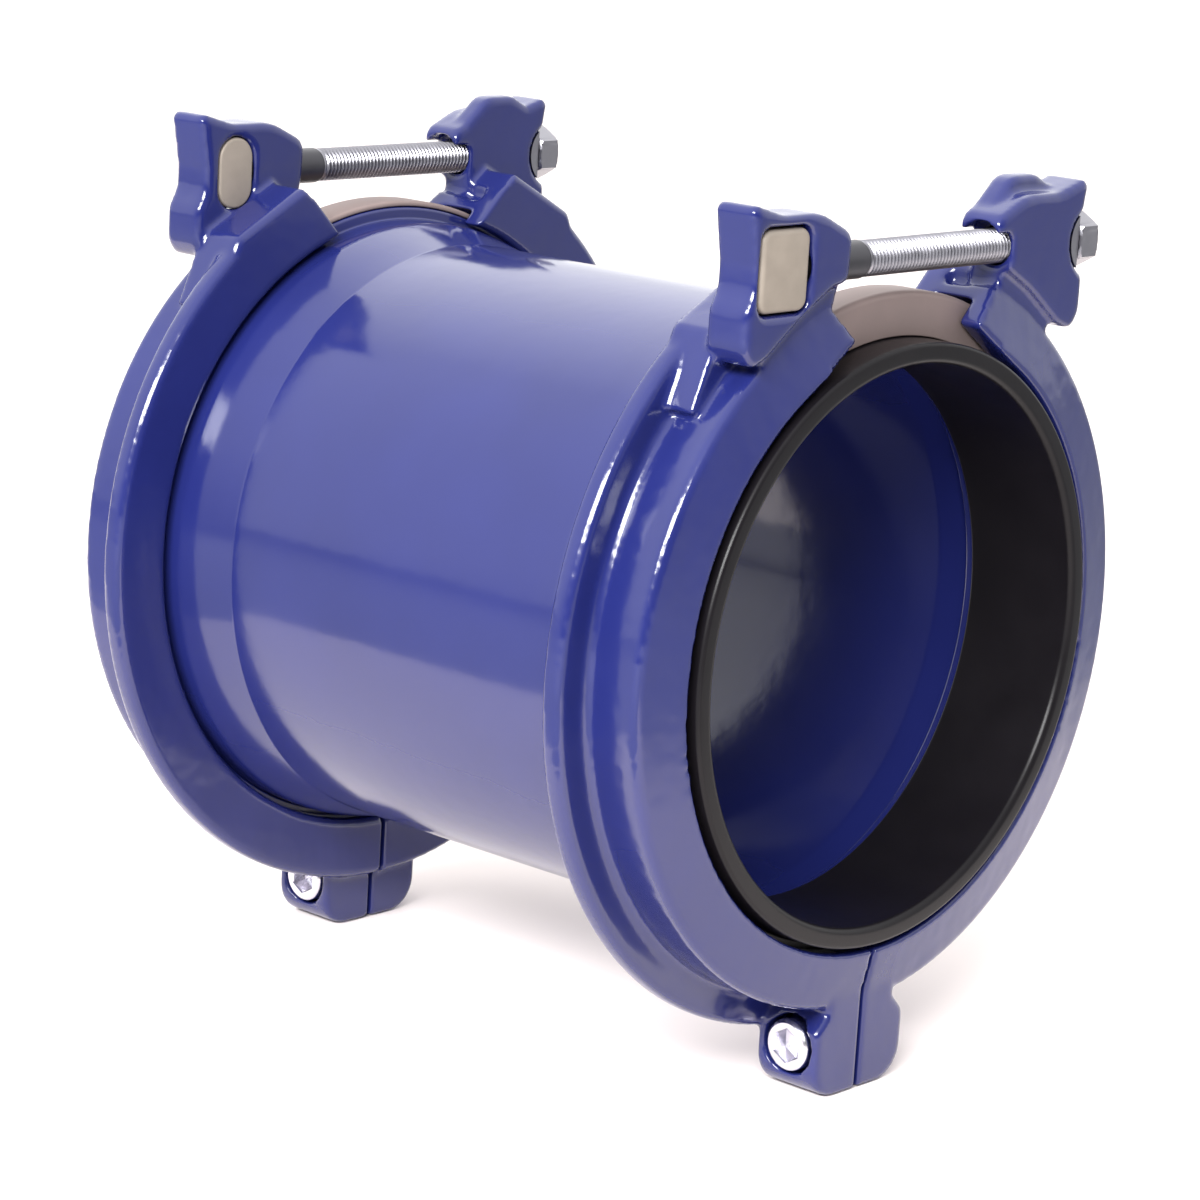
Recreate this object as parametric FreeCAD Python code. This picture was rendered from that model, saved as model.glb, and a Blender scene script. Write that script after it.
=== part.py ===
import FreeCAD, Part
import math
import os

# Top bolt pipe coupling, in millimetres.
# The pipe axis is X, the bolts cross the top along Y, and the origin is on the axis at mid length.
# A station is a distance from a clamp's front face towards the middle of the coupling.
# Pieces are made for the front end (+X) and mirrored for the rear end.

# Overall
face_to_face = 261.0
seat_gap = 0.3

# Gasket
gasket_bore_radius = 95.0
gasket_proud = 6.0
gasket_length = 44.0
gasket_nose_round = 2.5
gasket_shoulder = 5.4
toe_step = 4.0

# Sleeve
barrel_play = 5.0
barrel_wall = 6.0
flare_height = 9.3
flare_start = 55.5
flare_end = 34.0
flare_start_round = 6.0
flare_end_round = 16.0
lip_wall = 8.3
ridge_height = 2.5
ridge_length = 6.5

# Bridge plate
plate_thickness = 2.0
plate_half_angle = 38.0

# Clamp ring section
web_lap = 10.8
web_thickness = 6.0
web_rise = 4.5
cavity_play = 1.7
ring_wall = 5.7
groove_depth = 2.0
band_length = 22.0
flange_height = 11.0
flange_thickness = 8.5
hook_overlap = 2.0
rim_round = 2.5
groove_round = 3.0
inner_round = 1.0
split_width = 1.7

# Top gap between the clamp halves
gap_tip_y = 32.0
gap_tip_rise = 0.5
gap_bend_y = 47.0
gap_bend_drop = 5.0
gap_bend_round = 6.0
gap_slope_angle = 39.0
gap_slope_length = 36.0
gap_round = 1.5
web_taper_angle = 30.0

# Shoulders that fill the room between the lugs and the flange
shoulder_root_y = 48.0
shoulder_peak_rise = 4.5
shoulder_knee_y = 84.5
shoulder_knee_drop = 15.0
shoulder_foot_y = 95.0
shoulder_foot_drop = 40.0
shoulder_inner_y = 88.0
shoulder_inner_drop = 41.0
shoulder_root_drop = 14.0

# How far each clamp half closes about the bottom screw, in degrees
closing_angle = 0.8
running_gap = 0.35

# Top lugs, with heights above and below the bolt
lug_proud = 4.0
lug_width = 17.0
lug_round = 2.0
nose_root_y = 46.0
nose_root_drop = 20.0
chin_y = 41.8
chin_drop = 15.0
throat_y = 39.0
throat_drop = 5.5
lug_nose_y = 38.0
nose_rise = 10.0
nose_round = 6.0
crown_start_y = 54.0
crown_end_y = 72.0
crown_rise = 17.3
crown_start_round = 20.0
crown_end_round = 14.0
lug_end_y = 88.5
horn_rise = 22.0
hump_start_y = 43.0
hump_peak_start_y = 55.5
hump_peak_end_y = 69.0
hump_end_y = 82.0
hump_root_rise = 6.0
hump_start_rise = 11.5
hump_rise = 22.8
hump_end_rise = 16.0
hump_depth = 9.0
hump_round = 9.0
saddle_depth = 3.6
saddle_rise = 2.0
saddle_drop = 6.0
saddle_round = 10.0
lobe_top_drop = 12.5
lobe_low_drop = 24.0
lobe_round = 8.0
lobe_bottom_y = 84.5
lobe_bottom_drop = 30.4
lobe_bottom_round = 4.0
lobe_neck_y = 77.0
lobe_neck_drop = 27.4
lobe_neck_round = 1.5
lug_root_y = 71.5
lug_root_drop = 34.5
plate_edge_start_y = 45.5
plate_edge_start_drop = 6.7
plate_edge_middle_y = 60.0
plate_edge_middle_drop = 14.8
plate_edge_start_round = 4.0
plate_edge_middle_round = 30.0

# Top bolt with its block head
bolt_rise = 5.0
bolt_radius = 6.0
neck_radius = 6.3
neck_end_y = -26.0
bolt_hole_clearance = 0.75
block_y = -70.8
block_width = 24.0
block_height = 27.0
block_round = 4.0
toe_width = 15.6
toe_height = 25.0
toe_depth = 5.0
pocket_clearance = 0.4
bolt_point_length = 2.5

# Nut, its saddle washer and their seat on the right lug
seat_radius = 12.0
seat_y = 80.0
washer_thickness = 4.0
washer_side_gap = 0.5
nut_across_flats = 18.0
nut_thickness = 10.0
nut_chamfer = 1.2
thread_clearance = 0.05
hood_depth = 8.5
hood_radius = 8.7
hood_rise = 5.0

# Bottom feet and cap screw
foot_proud = 1.0
foot_width = 26.0
foot_half_length = 23.5
foot_neck_y = 17.5
foot_neck_round = 2.0
foot_shoulder_drop = 6.0
foot_shoulder_round = 4.0
foot_depth = 30.0
foot_round = 12.0
screw_drop = 13.0
screw_radius = 6.0
screw_point_y = 24.5
head_radius = 9.0
head_height = 11.5
head_seat_y = -9.5
counterbore_clearance = 1.3
hex_key = 10.0
hex_key_depth = 6.0
spring_washer_thickness = 2.0
nut_seat_y = 12.0
nut_pocket_clearance = 0.6

# Worked out from the sizes above
half_length = face_to_face / 2
bore_radius = gasket_bore_radius + barrel_play
barrel_radius = bore_radius + barrel_wall
lip_radius = barrel_radius + flare_height
mouth_radius = lip_radius - lip_wall
ridge_radius = bore_radius - ridge_height
plate_inner_radius = lip_radius + seat_gap
plate_outer_radius = plate_inner_radius + plate_thickness
cavity_radius = plate_outer_radius + cavity_play
ring_radius = cavity_radius + ring_wall
groove_radius = ring_radius - groove_depth
flange_radius = ring_radius + flange_height
web_bore_radius = lip_radius - web_lap
bolt_z = ring_radius + bolt_rise
screw_z = -ring_radius - screw_drop
foot_bottom_z = -ring_radius - foot_depth
radial_travel = -screw_z * math.radians(closing_angle)
flange_end = band_length + flange_thickness
flange_bore_radius = lip_radius - hook_overlap
neck_outer_radius = flange_bore_radius - radial_travel - running_gap
nose_radius = web_bore_radius - radial_travel - running_gap
plate_front = web_thickness + seat_gap
plate_end = band_length - seat_gap
plate_edge_radius = nose_radius + seat_gap
recess_station = plate_front + plate_thickness + seat_gap
shoulder_radius = plate_inner_radius - 2 * seat_gap
sleeve_end = recess_station + gasket_shoulder
lip_end = band_length - seat_gap
toe_station = gasket_length - gasket_proud
gap_tip_z = web_bore_radius + gap_tip_rise
gap_bend_z = ring_radius - gap_bend_drop
lug_back = lug_width - lug_proud
bolt_station = lug_width / 2 - lug_proud
screw_station = foot_width / 2 - foot_proud
block_depth = lug_width - toe_depth
seat_centre_y = seat_y + seat_radius
washer_inner_y = seat_y + seat_gap
washer_outer_y = washer_inner_y + washer_thickness
nut_start_y = washer_outer_y + seat_gap
bolt_end_y = nut_start_y + nut_thickness + bolt_point_length
nut_corner_radius = nut_across_flats / math.sqrt(3)
hood_end_y = lug_nose_y + hood_depth
washer_seat_y = head_seat_y - seat_gap
head_start_y = washer_seat_y - spring_washer_thickness - seat_gap


def at_station(station):
    return half_length - station


def corner_arc(before, corner, after, radius):
    """Start, middle and end of the arc that rounds a corner between two straight sides."""
    to_before = (before - corner).normalize()
    to_after = (after - corner).normalize()
    half_turn = to_before.getAngle(to_after) / 2
    reach = radius / math.tan(half_turn)
    inward = (to_before + to_after).normalize()
    centre = corner + inward * (radius / math.sin(half_turn))
    return corner + to_before * reach, centre - inward * radius, corner + to_after * reach


def rounded_wire(corners):
    """Closed wire through (point, radius) corners, each corner with its own round."""
    points = [FreeCAD.Vector(point) for point, radius in corners]
    arcs = []
    for index, (point, radius) in enumerate(corners):
        following = points[(index + 1) % len(points)]
        if radius > 0:
            arcs.append(corner_arc(points[index - 1], points[index], following, radius))
        else:
            arcs.append((points[index], None, points[index]))
    edges = []
    for index, (start, middle, end) in enumerate(arcs):
        if middle is not None:
            edges.append(Part.Arc(start, middle, end).toShape())
        next_start = arcs[(index + 1) % len(arcs)][0]
        if (next_start - end).Length > 1e-6:
            edges.append(Part.LineSegment(end, next_start).toShape())
    return Part.Wire(edges)


def turned_ring(profile, start=0.0, sweep=360.0):
    """A (station, radius, round) profile turned about the pipe axis, from start degrees off the top."""
    corners = [((at_station(station), 0, radius), rounding) for station, radius, rounding in profile]
    face = Part.Face(rounded_wire(corners))
    origin = FreeCAD.Vector(0, 0, 0)
    axis = FreeCAD.Vector(1, 0, 0)
    face.rotate(origin, axis, start)
    return face.revolve(origin, axis, sweep)


def turned_bar(profile, station, z):
    """A (y, radius, round) profile turned about a line along Y."""
    x = at_station(station)
    corners = [((x + radius, y, z), rounding) for y, radius, rounding in profile]
    face = Part.Face(rounded_wire(corners))
    return face.revolve(FreeCAD.Vector(x, 0, z), FreeCAD.Vector(0, 1, 0), 360)


def bar(radius, y_start, y_end, station, z):
    start = FreeCAD.Vector(at_station(station), y_start, z)
    return Part.makeCylinder(radius, y_end - y_start, start, FreeCAD.Vector(0, 1, 0))


def roller(radius, y, z, station, length):
    """Cylinder along X that starts at a station and runs towards the middle."""
    start = FreeCAD.Vector(at_station(station), y, z)
    return Part.makeCylinder(radius, length, start, FreeCAD.Vector(-1, 0, 0))


def prism(outline, station, length):
    """A (y, z, round) outline that starts at a station and runs towards the middle."""
    corners = [((at_station(station), y, z), rounding) for y, z, rounding in outline]
    return Part.Face(rounded_wire(corners)).extrude(FreeCAD.Vector(-length, 0, 0))


def box_outline(y, z, width, height, rounding):
    left, right = y - width / 2, y + width / 2
    low, high = z - height / 2, z + height / 2
    return [(left, low, rounding), (right, low, rounding), (right, high, rounding), (left, high, rounding)]


def hexagon(across_flats, y_start, y_end, station, z):
    """Hexagonal bar along Y with a corner at the top."""
    corner_radius = across_flats / math.sqrt(3)
    corners = []
    for step in range(6):
        angle = math.radians(60 * step + 30)
        x = at_station(station) + corner_radius * math.cos(angle)
        corners.append(FreeCAD.Vector(x, y_start, z + corner_radius * math.sin(angle)))
    face = Part.Face(Part.makePolygon(corners + corners[:1]))
    return face.extrude(FreeCAD.Vector(0, y_end - y_start, 0))


def round_rims(solid, radius, *stations):
    """Rounds the edges of a prism that lie in the planes at the stations."""
    ends = [at_station(station) for station in stations]
    rims = []
    for edge in solid.Edges:
        low, high = edge.BoundBox.XMin, edge.BoundBox.XMax
        if any(abs(low - end) < 1e-4 and abs(high - end) < 1e-4 for end in ends):
            rims.append(edge)
    return solid.makeFillet(radius, rims)


def hex_nut(y_start, thickness, bore, station, z):
    body = hexagon(nut_across_flats, y_start, y_start + thickness, station, z)
    y_end = y_start + thickness
    chamfered = turned_bar([
        (y_start, 0, 0),
        (y_start, nut_corner_radius - nut_chamfer, 0),
        (y_start + nut_chamfer / 2, nut_corner_radius, 0),
        (y_end - nut_chamfer / 2, nut_corner_radius, 0),
        (y_end, nut_corner_radius - nut_chamfer, 0),
        (y_end, 0, 0)], station, z)
    return body.common(chamfered).cut(bar(bore, y_start - 1, y_end + 1, station, z))


# Sleeve with its flares, lips and inner ridges

def sleeve():
    outside = [
        (sleeve_end, lip_radius, inner_round),
        (lip_end, lip_radius, inner_round),
        (lip_end, neck_outer_radius, inner_round),
        (flare_end, neck_outer_radius, flare_end_round),
        (flare_start, barrel_radius, flare_start_round)]
    inside = [
        (sleeve_end, mouth_radius, inner_round),
        (lip_end, mouth_radius, groove_round),
        (toe_station + seat_gap, ridge_radius + toe_step, 0),
        (toe_station + seat_gap, ridge_radius, inner_round),
        (toe_station + ridge_length - ridge_height, ridge_radius, inner_round),
        (toe_station + ridge_length, bore_radius + ridge_height, inner_round),
        (flare_start, bore_radius, flare_start_round + barrel_wall)]
    front_outside = [((at_station(station), 0, radius), rounding) for station, radius, rounding in outside]
    front_inside = [((at_station(station), 0, radius), rounding) for station, radius, rounding in inside]
    rear_outside = [((-x, y, z), rounding) for (x, y, z), rounding in front_outside]
    rear_inside = [((-x, y, z), rounding) for (x, y, z), rounding in front_inside]
    path = front_outside + rear_outside[::-1] + rear_inside + front_inside[::-1]
    face = Part.Face(rounded_wire(path))
    return face.revolve(FreeCAD.Vector(0, 0, 0), FreeCAD.Vector(1, 0, 0), 360)


# Rubber ring, with a nose in the clamp's mouth and a toe in the sleeve's socket

def gasket():
    rubber = turned_ring([
        (-gasket_proud, gasket_bore_radius, gasket_nose_round),
        (-gasket_proud, nose_radius, inner_round),
        (plate_front, nose_radius, inner_round),
        (plate_front, shoulder_radius, inner_round),
        (sleeve_end, shoulder_radius, 0),
        (sleeve_end, mouth_radius - seat_gap, 0),
        (lip_end, mouth_radius - seat_gap, groove_round),
        (toe_station, ridge_radius + toe_step - seat_gap, inner_round),
        (toe_station, gasket_bore_radius, inner_round)])
    recess_half_angle = plate_half_angle + math.degrees(pocket_clearance / nose_radius)
    recess = turned_ring([
        (0, nose_radius, 0),
        (0, plate_outer_radius, 0),
        (recess_station, plate_outer_radius, 0),
        (recess_station, nose_radius, 0)],
        -recess_half_angle, 2 * recess_half_angle)
    return rubber.cut(recess)


# Sheet that bridges the top gap, folded down over the front of the rubber

def bridge_plate():
    return turned_ring([
        (plate_front, plate_edge_radius, 0),
        (plate_front, plate_outer_radius, plate_thickness),
        (plate_end, plate_outer_radius, 0),
        (plate_end, plate_inner_radius, 0),
        (plate_front + plate_thickness, plate_inner_radius, seat_gap),
        (plate_front + plate_thickness, plate_edge_radius, 0)],
        -plate_half_angle, 2 * plate_half_angle)


# Clamp halves

def clamp_ring():
    """The channel section turned all round, open at the top gap and split at the bottom."""
    channel = turned_ring([
        (-web_rise, web_bore_radius, inner_round),
        (0, ring_radius, rim_round),
        (band_length, groove_radius, groove_round),
        (band_length, flange_radius, rim_round),
        (flange_end, flange_radius, rim_round),
        (flange_end, flange_bore_radius, rim_round),
        (band_length, flange_bore_radius, 0),
        (band_length, cavity_radius, inner_round),
        (web_thickness, cavity_radius, inner_round),
        (web_thickness, web_bore_radius, inner_round)])
    taper = math.radians(web_taper_angle)
    taper_y = web_bore_radius * math.sin(taper)
    taper_z = web_bore_radius * math.cos(taper)
    slope = math.radians(gap_slope_angle)
    right_side = [
        (taper_y, 0, 0),
        (taper_y, taper_z, 0),
        (gap_tip_y, gap_tip_z, gap_round),
        (gap_bend_y, gap_bend_z, gap_bend_round),
        (gap_bend_y + gap_slope_length * math.cos(slope), gap_bend_z + gap_slope_length * math.sin(slope), 0)]
    left_side = [(-y, z, rounding) for y, z, rounding in reversed(right_side)]
    gap = prism(right_side + left_side, -2 * web_rise, flange_end + 3 * web_rise)
    shoulder = flange_shoulder()
    channel = channel.fuse(shoulder)
    channel = channel.fuse(shoulder.mirror(FreeCAD.Vector(0, 0, 0), FreeCAD.Vector(0, 1, 0)))
    return channel.cut(gap)


def flange_shoulder():
    """Raised part of the flange, which runs forward into the back of the right lug."""
    front = lug_back - rim_round
    outline = [
        (shoulder_root_y, ring_radius - shoulder_root_drop, 0),
        (shoulder_root_y, ring_radius + shoulder_peak_rise, 0),
        (shoulder_knee_y, ring_radius - shoulder_knee_drop, groove_round),
        (shoulder_foot_y, ring_radius - shoulder_foot_drop, 0),
        (shoulder_inner_y, ring_radius - shoulder_inner_drop, 0)]
    shoulder = round_rims(prism(outline, front, flange_end - front), rim_round, flange_end)
    return shoulder.cut(ring_core())


def ring_core():
    """The hollow of the ring, which no lug or foot may reach into."""
    return turned_ring([
        (-2 * lug_proud, 0, 0),
        (-2 * lug_proud, web_bore_radius, 0),
        (web_thickness, web_bore_radius, 0),
        (web_thickness, cavity_radius, 0),
        (band_length, cavity_radius, 0),
        (band_length, flange_bore_radius, 0),
        (2 * flange_end, flange_bore_radius, 0),
        (2 * flange_end, 0, 0)])


def lug_blank():
    """Right lug as cast: nose over the gap, crown, horn, saddle and lobe, with a proud front plate."""
    crest = [
        (throat_y, bolt_z - throat_drop, lug_round),
        (lug_nose_y, bolt_z + nose_rise, nose_round),
        (crown_start_y, bolt_z + crown_rise, crown_start_round),
        (crown_end_y, bolt_z + crown_rise, crown_end_round),
        (lug_end_y, bolt_z + horn_rise, rim_round),
        (lug_end_y - saddle_depth, bolt_z + saddle_rise, saddle_round),
        (lug_end_y - saddle_depth, bolt_z - saddle_drop, saddle_round),
        (lug_end_y, bolt_z - lobe_top_drop, lobe_round),
        (lug_end_y, bolt_z - lobe_low_drop, lobe_round),
        (lobe_bottom_y, bolt_z - lobe_bottom_drop, lobe_bottom_round),
        (lobe_neck_y, bolt_z - lobe_neck_drop, lobe_neck_round)]
    root = [
        (lug_root_y, bolt_z - lug_root_drop, 0),
        (nose_root_y, bolt_z - nose_root_drop, 0),
        (chin_y, bolt_z - chin_drop, lug_round)]
    plate_edge = [
        (plate_edge_middle_y, bolt_z - plate_edge_middle_drop, plate_edge_middle_round),
        (plate_edge_start_y, bolt_z - plate_edge_start_drop, plate_edge_start_round)]
    base = round_rims(prism(crest + root, 0, lug_back), lug_round, lug_back)
    plate = round_rims(prism(crest + plate_edge, -lug_proud, 2 * lug_proud), lug_round, -lug_proud)
    return base.fuse(plate).removeSplitter()


def left_lug():
    return lug_blank().mirror(FreeCAD.Vector(0, 0, 0), FreeCAD.Vector(0, 1, 0))


def left_cuts():
    """The pocket and slot for the bolt's block head, and the hole for its neck."""
    pocket = prism(
        box_outline(block_y, bolt_z, block_width + 2 * pocket_clearance,
                    block_height + 2 * pocket_clearance, block_round),
        -2 * lug_proud, lug_proud + block_depth + pocket_clearance)
    slot = prism(
        box_outline(block_y, bolt_z, toe_width + 2 * pocket_clearance,
                    toe_height + 2 * pocket_clearance, toe_width / 2),
        0, lug_back)
    hole = bar(neck_radius + bolt_hole_clearance, block_y, 0, bolt_station, bolt_z)
    return [pocket, slot, hole]


def right_lug():
    """Lug with the hood over the bolt."""
    shallow = prism([
        (0, gap_tip_z, 0),
        (hood_end_y, gap_tip_z, 0),
        (hood_end_y, bolt_z + hood_rise, 0),
        (0, bolt_z + hood_rise, 0)],
        -2 * lug_proud, 2 * lug_width)
    arch = bar(hood_radius, 0, hood_end_y, bolt_station, bolt_z)
    hump_front = lug_back - hump_depth
    hump = prism([
        (hump_start_y, bolt_z + hump_root_rise, 0),
        (hump_start_y, bolt_z + hump_start_rise, 0),
        (hump_peak_start_y, bolt_z + hump_rise, hump_round),
        (hump_peak_end_y, bolt_z + hump_rise, hump_round),
        (hump_end_y, bolt_z + hump_end_rise, 0),
        (hump_end_y, bolt_z + hump_root_rise, 0)],
        hump_front, hump_depth)
    hump = round_rims(hump, lug_round, hump_front, lug_back)
    return lug_blank().fuse(hump).cut(shallow).cut(arch)


def right_cuts():
    """The bolt hole, the nut's round seat and the room round the nut."""
    hole = bar(bolt_radius + bolt_hole_clearance, 0, lug_end_y, bolt_station, bolt_z)
    seat = roller(seat_radius, seat_centre_y, bolt_z, -2 * lug_proud, 2 * lug_width)
    spot_face = bar(nut_corner_radius + bolt_hole_clearance, washer_outer_y - seat_gap, 2 * lug_end_y,
                    bolt_station, bolt_z)
    return [hole, seat, spot_face]


def foot():
    """Both feet in one block under the ring, before the split."""
    right_side = [
        (foot_neck_y, -web_bore_radius, 0),
        (foot_neck_y, -ring_radius, foot_neck_round),
        (foot_half_length, -ring_radius - foot_shoulder_drop, foot_shoulder_round),
        (foot_half_length, foot_bottom_z, foot_round)]
    left_side = [(-y, z, rounding) for y, z, rounding in reversed(right_side)]
    block = round_rims(prism(right_side + left_side, -foot_proud, foot_width),
                       lug_round, -foot_proud, foot_width - foot_proud)
    hole = bar(screw_radius + bolt_hole_clearance, -foot_neck_y, foot_neck_y, screw_station, screw_z)
    counterbore = bar(head_radius + counterbore_clearance, -2 * foot_half_length, head_seat_y,
                      screw_station, screw_z)
    nut_pocket = hexagon(nut_across_flats + 2 * nut_pocket_clearance, nut_seat_y, 2 * foot_half_length,
                         screw_station, screw_z)
    return block.cut(hole).cut(counterbore).cut(nut_pocket)


def one_side(shape, side):
    """The part of a shape on one side of the bottom split."""
    reach = 2 * flange_radius
    start_y = split_width / 2 if side > 0 else -reach - split_width / 2
    corner = FreeCAD.Vector(half_length - reach, start_y, -reach)
    return shape.common(Part.makeBox(2 * reach, reach, 2 * reach, corner))


def clamp_half(side, lug, cuts):
    core = ring_core()
    half = one_side(clamp_ring(), side)
    half = half.fuse(one_side(foot(), side).cut(core))
    half = half.fuse(lug.cut(core))
    for cut in cuts:
        half = half.cut(cut)
    return half.removeSplitter()


# Fasteners

def top_bolt():
    block_front = -lug_proud + pocket_clearance
    block_back = -lug_proud + block_depth
    block = round_rims(
        prism(box_outline(block_y, bolt_z, block_width, block_height, block_round),
              block_front, block_back - block_front),
        inner_round, block_front, block_back)
    toe = prism(box_outline(block_y, bolt_z, toe_width, toe_height, toe_width / 2 - seat_gap),
                bolt_station, lug_width / 2 - pocket_clearance)
    shank = turned_bar([
        (block_y, 0, 0),
        (block_y, neck_radius, 0),
        (neck_end_y, neck_radius, inner_round),
        (neck_end_y, bolt_radius, 0),
        (bolt_end_y - inner_round, bolt_radius, 0),
        (bolt_end_y, bolt_radius - inner_round, 0),
        (bolt_end_y, 0, 0)], bolt_station, bolt_z)
    return block.fuse(toe).fuse(shank).removeSplitter()


def saddle_washer():
    """Slice of a round bar, whose round side lies in the lug's seat."""
    width = lug_width - 2 * washer_side_gap
    station = -lug_proud + washer_side_gap
    body = roller(seat_radius - seat_gap, seat_centre_y, bolt_z, station, width)
    slab = prism(box_outline((washer_inner_y + washer_outer_y) / 2, bolt_z,
                             washer_thickness, 2 * seat_radius, 0), station, width)
    hole = bar(bolt_radius + seat_gap, 0, washer_outer_y + 1, bolt_station, bolt_z)
    return body.common(slab).cut(hole)


def top_nut():
    return hex_nut(nut_start_y, nut_thickness, bolt_radius + thread_clearance, bolt_station, bolt_z)


def bottom_screw():
    head_y = head_start_y - head_height
    screw = turned_bar([
        (head_y, 0, 0),
        (head_y, head_radius, inner_round),
        (head_start_y, head_radius, 0),
        (head_start_y, screw_radius, 0),
        (screw_point_y - inner_round, screw_radius, 0),
        (screw_point_y, screw_radius - inner_round, 0),
        (screw_point_y, 0, 0)], screw_station, screw_z)
    return screw.cut(hexagon(hex_key, head_y - 1, head_y + hex_key_depth, screw_station, screw_z))


def spring_washer():
    ring = bar(head_radius, washer_seat_y - spring_washer_thickness, washer_seat_y, screw_station, screw_z)
    return ring.cut(bar(screw_radius + seat_gap, head_start_y, head_seat_y, screw_station, screw_z))


def bottom_nut():
    return hex_nut(nut_seat_y + seat_gap, nut_thickness, screw_radius + thread_clearance,
                   screw_station, screw_z)


def export_parts():
    os.makedirs("parts", exist_ok=True)
    front = {
        "gasket": gasket(),
        "bridge_plate": bridge_plate(),
        "clamp_left": clamp_half(-1, left_lug(), left_cuts()),
        "clamp_right": clamp_half(1, right_lug(), right_cuts()),
        "top_bolt": top_bolt(),
        "saddle_washer": saddle_washer(),
        "top_nut": top_nut(),
        "bottom_screw": bottom_screw(),
        "spring_washer": spring_washer(),
        "bottom_nut": bottom_nut()}
    sleeve().exportStep("parts/sleeve.step")
    for name, shape in front.items():
        shape.exportStep("parts/" + name + "_front.step")
        rear = shape.mirror(FreeCAD.Vector(0, 0, 0), FreeCAD.Vector(1, 0, 0))
        rear.exportStep("parts/" + name + "_rear.step")


export_parts()
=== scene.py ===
import math

import bmesh
import bpy
import numpy as np
from mathutils import Matrix


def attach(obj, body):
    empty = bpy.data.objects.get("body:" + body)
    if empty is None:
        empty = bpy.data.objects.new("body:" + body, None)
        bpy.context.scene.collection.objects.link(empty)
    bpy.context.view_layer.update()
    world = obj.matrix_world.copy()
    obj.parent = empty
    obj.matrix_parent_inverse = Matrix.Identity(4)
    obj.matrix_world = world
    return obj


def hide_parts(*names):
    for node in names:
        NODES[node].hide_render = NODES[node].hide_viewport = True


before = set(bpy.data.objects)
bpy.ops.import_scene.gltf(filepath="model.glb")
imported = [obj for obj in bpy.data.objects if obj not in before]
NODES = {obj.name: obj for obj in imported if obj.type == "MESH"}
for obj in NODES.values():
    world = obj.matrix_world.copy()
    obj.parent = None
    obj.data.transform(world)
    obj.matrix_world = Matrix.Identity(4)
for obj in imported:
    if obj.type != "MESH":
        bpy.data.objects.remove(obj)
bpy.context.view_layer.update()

bl_info = {
    "name": "Top bolt pipe coupling",
    "version": (1, 0, 0),
    "blender": (4, 5, 0),
    "location": "3D View > Sidebar > Coupling",
    "description": "Builds the looks of a coated pipe coupling around its packed solids",
    "category": "Object",
}

MM = 0.001
ENDS = (("front", 1.0), ("rear", -1.0))

# Sizes that the solids have too, in millimetres. A station runs inwards from a clamp's face.
HALF_LENGTH = 130.5
SEAT_GAP = 0.3
GASKET_BORE = 95.0
GASKET_FRONT = -6.0
NOSE_RADIUS = 102.22
SHOULDER_RADIUS = 115.0
SLEEVE_END = 14.0
LIP_END = 21.7
LIP_RADIUS = 115.3
NECK_RADIUS = 111.02
MOUTH_RADIUS = 107.0
FLARE_END = 34.0
FLARE_START = 55.5
BARREL_RADIUS = 106.0
BORE_RADIUS = 100.0
TOE_STATION = 38.0
RIDGE_RADIUS = 97.5
RIDGE_HEIGHT = 4.0
RIDGE_LENGTH = 4.0
RIDGE_BACK = 2.5
PLATE_FRONT = 6.3
PLATE_THICKNESS = 2.0
PLATE_INNER = 115.6
PLATE_EDGE = 102.52
PLATE_HALF_ANGLE = 38.0
BOLT_X = 126.0
BOLT_Z = 130.0
BOLT_RADIUS = 6.0
NECK_BOLT_RADIUS = 6.3
NECK_END_Y = -26.0
BOLT_END_Y = 97.1
BLOCK_Y = -70.8
BLOCK_WIDTH = 24.0
BLOCK_HEIGHT = 27.0
TOE_WIDTH = 15.6
TOE_HEIGHT = 25.0
NUT_START_Y = 84.6
NUT_FLATS = 18.0
NUT_THICKNESS = 10.0
SCREW_X = 118.5
SCREW_Z = -138.0
SCREW_HEAD_Y = -23.6
SCREW_SEAT_Y = -12.1
SCREW_POINT_Y = 24.5
HEAD_RADIUS = 9.0
SOCKET_FLATS = 10.0
BOTTOM_NUT_Y = 12.3
FLOOR_Z = -155.0

# Sizes that only the looks have, in millimetres and degrees. The bridge plates' back edges stop
# short of the clamps' rounded inner corners, which come nearer as the clamps close.
PLATE_EASE = 0.6
PLATE_BACK_ROUND = 1.3
PLATE_BEND_ROUND = 2.2
PLATE_END_PLAY = 1.2
BLOCK_MIDDLE_X = 128.2
BLOCK_DEPTH = 11.6
BLOCK_PLAY = 0.8
BLOCK_CORNER = 4.0
BLOCK_RIM = 1.8
TOE_MIDDLE_X = 122.0
TOE_DEPTH = 8.1
TOE_CORNER = 7.5
TOE_RIM = 1.0
NECK_CHAMFER = 0.6
THREAD_PLAY = 0.02
THREAD_RUNOUT_TURNS = 1.5
POINT_CONE_DEPTH = 1.0
POINT_RADIUS = BOLT_RADIUS - 1.4
NUT_CORNER_CUT = 1.6
NUT_CHAMFER_ANGLE = math.radians(30)
NUT_HOLE_RADIUS = BOLT_RADIUS + 0.06
NUT_MOUTH_DEPTH = 0.8
NUT_MOUTH_WIDENING = 0.5
KNURLS = 60
KNURL_DEPTH = 0.18
SHARP_EDGE = math.radians(32)
# Stations and radius past which the rubber rings step back under the bridge plates, and the width
# of the ramp at each end of the step in degrees
STEP_START = PLATE_FRONT - 0.9
STEP_END = SLEEVE_END - 2.0
STEP_RADIUS = NOSE_RADIUS - 0.01
STEP_RAMP = 0.8
# How far the cast halves' cells are smoothed: each round moves a point by this share towards the
# middle of its neighbours
CAST_SMOOTHING = 0.5
CAST_SMOOTHING_ROUNDS = 4
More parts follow.
